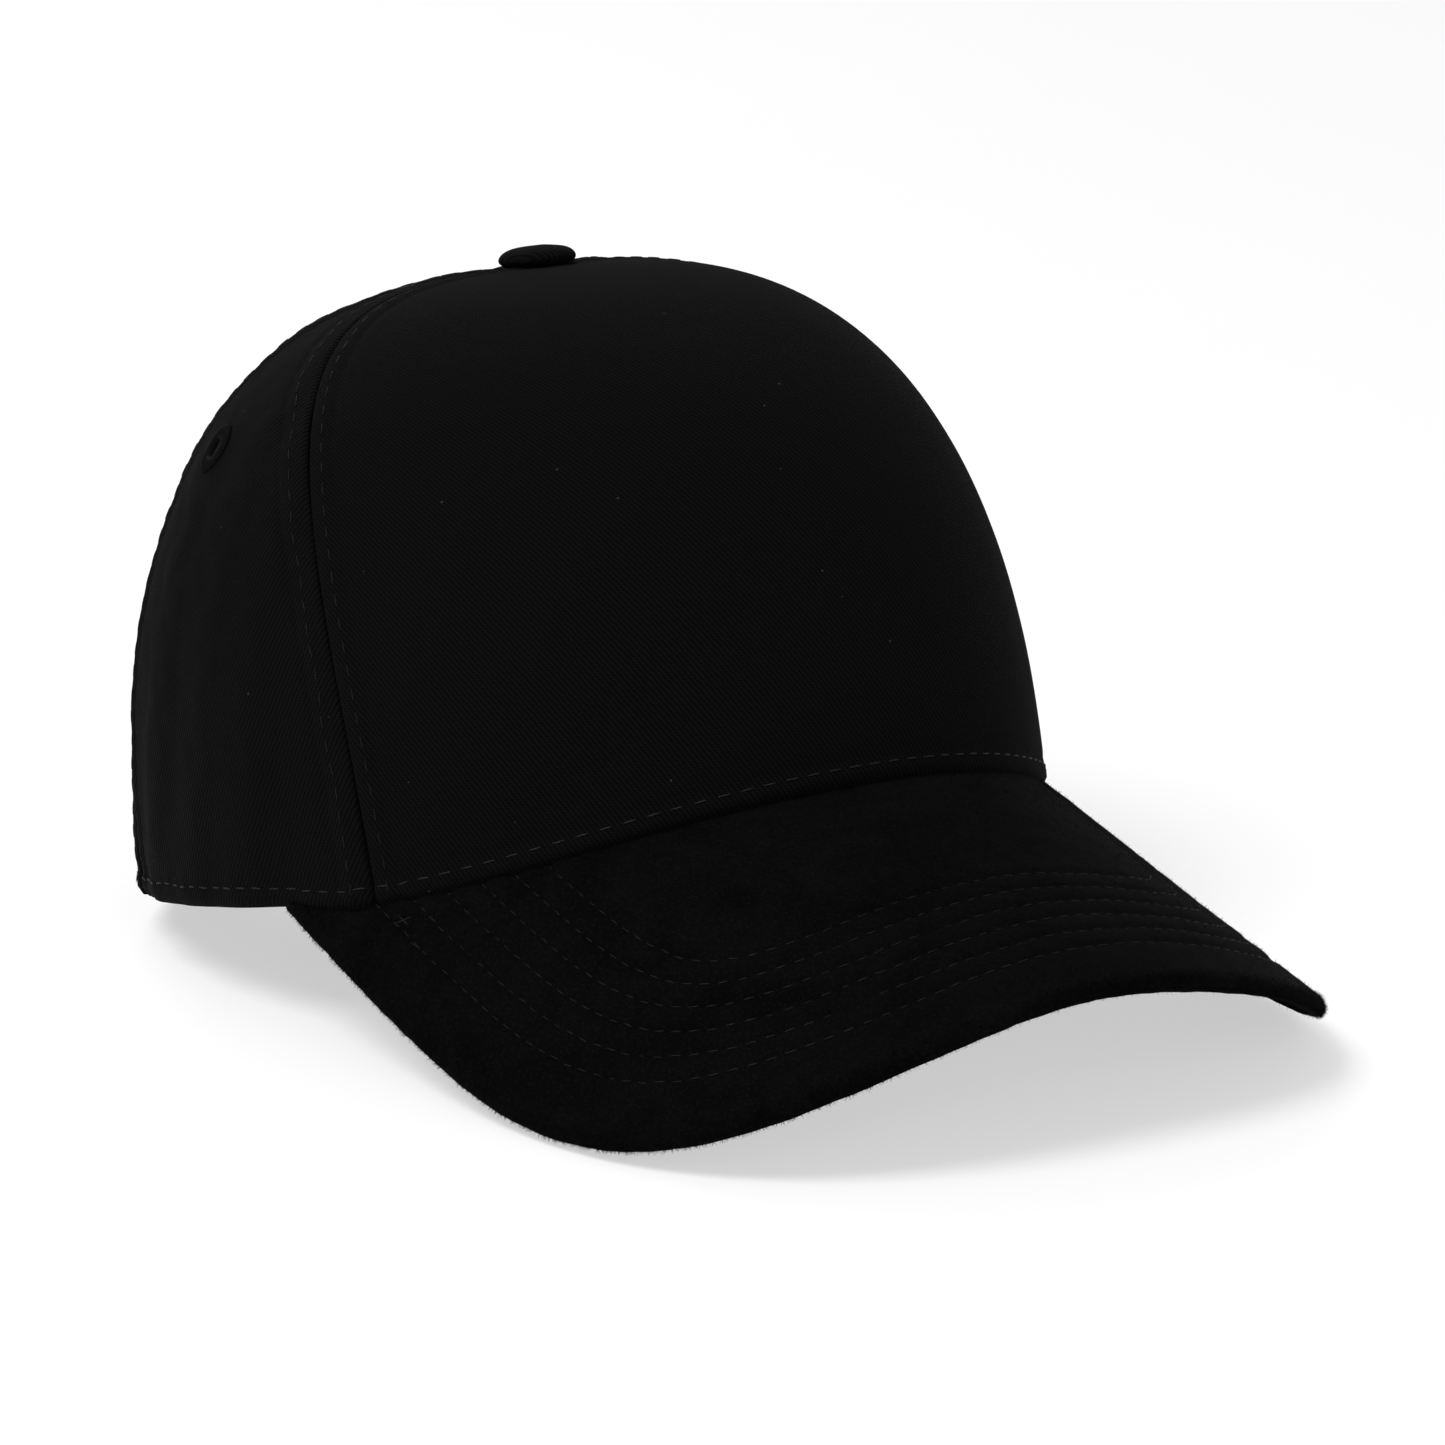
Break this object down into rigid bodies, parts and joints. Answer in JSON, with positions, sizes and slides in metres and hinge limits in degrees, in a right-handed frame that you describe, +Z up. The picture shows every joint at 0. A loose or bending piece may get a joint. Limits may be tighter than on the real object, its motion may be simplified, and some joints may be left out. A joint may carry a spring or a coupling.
{
  "type": "bump cap",
  "caption": "Black structured cloth cap with a curved suede peak, strap-and-buckle closure and a removable padded protective shell.",
  "frame": {"origin": "centre of the bounding box, on the surface the cap rests on", "axes": "+Z up, the wearer faces -Y, +X is the wearer's left; at rest the cap stands on the peak's two low corners and the crown's rear edge, so its own axis leans back"},
  "size_m": [0.1878, 0.282, 0.1448],
  "materials": {
    "cotton_twill": "black cotton drill, brushed, with a steep diagonal twill line",
    "buckram": "stiff starched open-weave buckram",
    "seam_tape": "plain-weave black cotton tape",
    "embroidery": "dense satin-stitched rayon thread",
    "suede": "black brushed suede with a short uneven nap",
    "peak_plastic": "flat polyethylene board",
    "button_steel": "pressed tinned steel",
    "sweat_foam": "soft open-cell foam",
    "sweat_face": "wicking brushed knit",
    "label_satin": "blank woven satin",
    "buckle_brass": "antique brass plate, brushed",
    "shell_abs": "injection-moulded ABS, fine spark-eroded texture",
    "edge_rubber": "soft thermoplastic elastomer",
    "eva_foam": "closed-cell EVA foam",
    "hook_loop": "hook-and-loop tape"
  },
  "bodies": {
    "cap": {"front_panel": "cotton_twill", "side_panel_left": "cotton_twill", "side_panel_right": "cotton_twill", "rear_panel_left": "cotton_twill", "rear_panel_right": "cotton_twill", "front_buckram": "buckram", "seam_tape_front_left": "seam_tape", "seam_tape_front_right": "seam_tape", "seam_tape_rear_left": "seam_tape", "seam_tape_rear_right": "seam_tape", "seam_tape_back": "seam_tape", "arch_tape": "seam_tape", "eyelet_side_left": "embroidery", "eyelet_side_right": "embroidery", "eyelet_rear_left": "embroidery", "eyelet_rear_right": "embroidery", "button_cover": "cotton_twill", "button_cap": "button_steel", "button_shank": "button_steel", "button_back": "button_steel", "peak_board": "peak_plastic", "peak_top_cover": "suede", "peak_under_cover": "suede", "sweatband_foam": "sweat_foam", "sweatband_face": "sweat_face", "care_label": "label_satin", "strap": "cotton_twill", "strap_tab": "cotton_twill", "buckle_frame": "buckle_brass", "buckle_pin": "buckle_brass", "loop_dots": "hook_loop"},
    "buckle_flap": {"buckle_flap": "buckle_brass"},
    "insert": {"insert_shell": "shell_abs", "insert_edge_trim": "edge_rubber", "insert_crown_pad": "eva_foam", "insert_front_pad": "eva_foam", "insert_side_pad_left": "eva_foam", "insert_side_pad_right": "eva_foam", "insert_rear_pad": "eva_foam", "hook_dots": "hook_loop"}
  },
  "joints": [
    {"name": "buckle_flap_hinge", "type": "hinge", "parent": "cap", "child": "buckle_flap", "pos_m": [0.01286, 0.13772, 0.0128], "axis": [-0.0155, 0.1018, 0.9947], "range_deg": [0, 100]},
    {"name": "insert_removal", "type": "slide", "parent": "cap", "child": "insert", "axis": [0, -0.1615, -0.9869], "range_m": [0, 0.13]}
  ]
}
